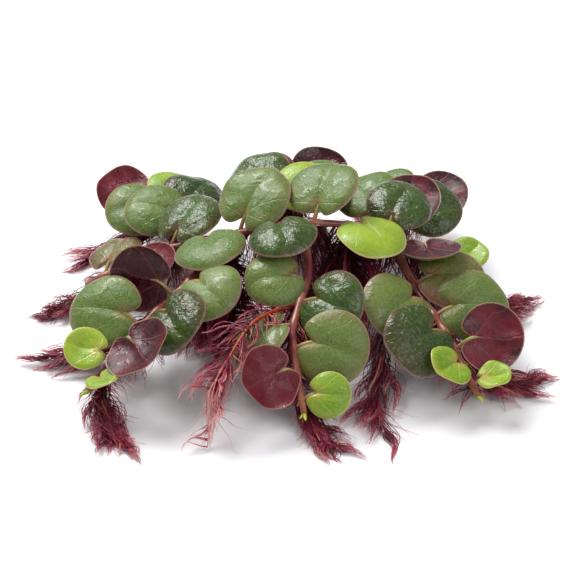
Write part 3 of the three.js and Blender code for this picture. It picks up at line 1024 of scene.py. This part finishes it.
def feathered_tuft(main, reach, rootlets, sag, spread, chance):
    """Small stiff locks that stand out all along an old root, those on its right shorter, and a pale tail."""
    strands = []
    for share, guide in shown_rootlets(main, reach, rootlets, sag, spread):
        strands += lock(main, share, guide, HERO_SHOWN_ROOTS, 0.3, mix(0.1, 1, share), chance)
    for i in range(HERO_LOCKS):
        share = mix(0.05, BARK_END + 0.05, (i + chance.random()) / HERO_LOCKS)
        length = reach * chance.uniform(0.5, 1.2) * (0.7 if i % 2 else 1)
        angle = chance.uniform(25, 85)
        low = sag * chance.uniform(-1, 2.5)
        guide = side_root(main, share, 1 if i % 2 else -1, angle, length, low)
        roots = chance.randint(*HERO_LOCK_ROOTS)
        tone = chance.uniform(0.1, 0.8)
        strands += lock(main, share, guide, roots, 0.3, tone, chance)
    for _ in range(TAIL_LOCKS):
        share = chance.uniform(BARK_END - 0.12, BARK_END)
        strands += lock(main, share, rest_of(main, share), TAIL_LOCK_ROOTS, 1.0, 1.1, chance)
    return strands + strays(main, STRAY_ROOTS, reach, chance)


def main_root(bm, route, radius, lot, tone, finish):
    """A main root: round, and beaded all along where side roots have left it."""

    def radius_at(share):
        bead = noise.noise(Vector((share * route.length * BEADS, lot, 0)))
        return mix(radius, ROOT_TIP_RADIUS, share) * (1 + BEAD_HEIGHT * bead)

    strand = bm.verts.layers.float_vector["strand"]
    rings = round(ROOT_RINGS_PER_MM * route.length)
    for vert, share in draw_out(bm, route, radius_at, ROOT_SIDES, rings):
        vert[strand] = (share, tone, finish)
        for face in vert.link_faces:
            face.material_index = finish


def root_tuft(number, stem_name, share, route, reach, rootlets, sag, spread):
    """A tuft that hangs from a stem: its main root, and the finer roots that leave it."""
    node = f"root_tuft_{number}"
    chance = random.Random(node)
    stem_middle = ROUTES[stem_name].at(share)
    node_radius = mix(STEM_RADIUS, STEM_TIP_RADIUS, share) * NODE_SWELL
    main = Route([stem_middle - (node_radius + 2 * GAP) * UP, *route])
    if number == HERO_TUFT:
        strands = feathered_tuft(main, reach, rootlets, sag, spread, chance)
    else:
        fullness = MIDDLE_FULLNESS if number in MIDDLE_TUFTS else 1
        strands = wet_tuft(main, reach, rootlets, sag, spread, fullness, chance)
    if number in BARKED_TUFTS:
        tail = [main.at(mix(TAIL_START, 1, step / TAIL_STEPS)) for step in range(TAIL_STEPS + 1)]
        strands.append((tail, TAIL_RADIUS, ROOT_TIP_RADIUS, TAIL_TONE, 0))
    bm = bundle(f"{node}_strands", strands)
    if number in BARKED_TUFTS:
        old_part = [main.at(BARK_END * step / 6) for step in range(7)]
        main_root(bm, Route([stem_middle, *old_part]), BARKED_RADIUS, number, BARK_TONE, 1)
    else:
        main_root(bm, Route([stem_middle, *main.points]), ROOT_RADIUS, number, MAIN_ROOT_TONE, 0)
    settle(bm, f"{node}_strands", node, SLOT[node], [CRIMSON_ROOT, ORANGE_ROOT])


def node_roots(name, route, shares):
    """Young roots that hang from every node of a stem. High nodes also have long ones, down to the table."""
    chance = random.Random(f"{name}_roots")
    strands = []
    for share in shares:
        foot = route.at(share)
        for _ in range(NODE_LOCKS):
            out = Vector((chance.gauss(0, 1), chance.gauss(0, 1), chance.uniform(-1.6, -0.4))).normalized()
            length = NODE_ROOT_LENGTH * chance.uniform(0.5, 1)
            guide = Route([foot, foot + 0.5 * length * out, foot + length * (out - 0.2 * UP)])
            strands += lock(route, share, guide, NODE_LOCK_ROOTS, 0.5, chance.uniform(-0.5, 0.3), chance)
        for _ in range(LONG_LOCKS if foot.z > HIGH_NODE else 0):
            aside = foot.z * Vector((chance.uniform(-0.35, 0.35), chance.uniform(-0.35, 0.35), 0))
            half_way = foot + 0.7 * aside - 0.45 * foot.z * UP
            end = foot + aside - (foot.z - chance.uniform(0.5, 4)) * UP
            guide = Route([foot, half_way, end])
            strands += lock(route, share, guide, LONG_LOCK_ROOTS, 1.2, chance.uniform(-0.6, 0.1), chance)
    bm = bundle(f"{name}_young_roots", strands)
    settle(bm, f"{name}_young_roots", name, "root", [CRIMSON_ROOT, ORANGE_ROOT])


def fork_point(share, towards):
    """Where a side stem starts: beside the main stem and a little below its middle."""
    fork = ROUTES["main_stem"].at(share)
    out = Vector(towards) - fork
    out.z = 0
    out.normalize()
    out.z = -FORK_DROP
    return fork + out.normalized() * SLANT * (STEM_RADIUS * NODE_SWELL + GAP)


ROUTES = {}


def grow_shoot(name, shoot):
    """A stem with its leaves. The young leaves at its tip are one with it."""
    points = list(shoot["route"])
    parent = None
    if "from" in shoot:
        parent = ROUTES["main_stem"].at(shoot["from"])
        points.insert(0, fork_point(shoot["from"], points[0]))
    route = ROUTES[name] = Route(points)
    bare = BARE_BASE if parent else 0
    spacing = (1 - bare) / len(shoot["leaves"])
    shares = [bare + spacing * (i + 0.5) for i in range(len(shoot["leaves"]))]
    for number, (share, form) in enumerate(zip(shares, shoot["leaves"]), 1):
        own = f"{name}_leaf_{number}"
        node, slot = (name, "leaf_lime") if form[1] <= YOUNG_LEAF else (own, SLOT[own])
        node_radius = mix(STEM_RADIUS, STEM_TIP_RADIUS, share) * NODE_SWELL
        leaf(own, node, slot, route.at(share), route.heading(share), node_radius, form)
    stem(name, route, shares, parent)
    node_roots(name, route, shares)


def table_top():
    """A plain matt white table."""
    material, tree = new_material("table_matt_white")
    shader = add(tree, "ShaderNodeBsdfPrincipled", {"Base Color": linear("#f6f5f8"), "Roughness": 0.7})
    add(tree, "ShaderNodeOutputMaterial", {"Surface": shader.outputs[0]})
    bm = bmesh.new()
    bmesh.ops.create_grid(bm, x_segments=1, y_segments=1, size=TABLE_SIZE / 2)
    mesh = bpy.data.meshes.new("table_top")
    bm.to_mesh(mesh)
    bm.free()
    mesh.materials.append(material)
    top = bpy.data.objects.new("table_top", mesh)
    bpy.context.scene.collection.objects.link(top)


def softbox(name, place, size, power):
    """A square soft light that faces the plant."""
    light = bpy.data.lights.new(name, "AREA")
    light.size = size
    light.energy = power
    lamp = bpy.data.objects.new(name, light)
    lamp.location = place
    lamp.rotation_euler = (-Vector(place)).to_track_quat("-Z", "Y").to_euler()
    bpy.context.scene.collection.objects.link(lamp)


def studio():
    """A white surround, a large softbox behind to the left, a weaker one in front to the right, the table and
    the camera."""
    world = bpy.data.worlds.new("studio_white")
    world.use_nodes = True
    world.node_tree.nodes["Background"].inputs["Color"].default_value = (1, 1, 1, 1)
    world.node_tree.nodes["Background"].inputs["Strength"].default_value = SKY_STRENGTH
    bpy.context.scene.world = world
    bpy.context.scene.view_settings.view_transform = "Standard"
    softbox("softbox_back_left", (-0.28, 0.35, 0.6), 0.45, 7.4)
    softbox("softbox_front_right", (0.5, -0.5, 0.6), 0.5, 2.4)
    table_top()

    lens = bpy.data.cameras.new("camera")
    lens.lens = CAMERA_LENS
    camera = bpy.data.objects.new("camera", lens)
    elevation = math.radians(CAMERA_ELEVATION)
    back = Vector((0, -math.cos(elevation), math.sin(elevation)))
    camera.location = (CAMERA_AIM + back * CAMERA_DISTANCE) * MM
    camera.rotation_euler = (-back).to_track_quat("-Z", "Y").to_euler()
    bpy.context.scene.collection.objects.link(camera)
    bpy.context.scene.camera = camera


studio()
for name, shoot in SHOOTS.items():
    grow_shoot(name, shoot)
for number, tuft in enumerate(ROOTS, 1):
    root_tuft(number, *tuft)
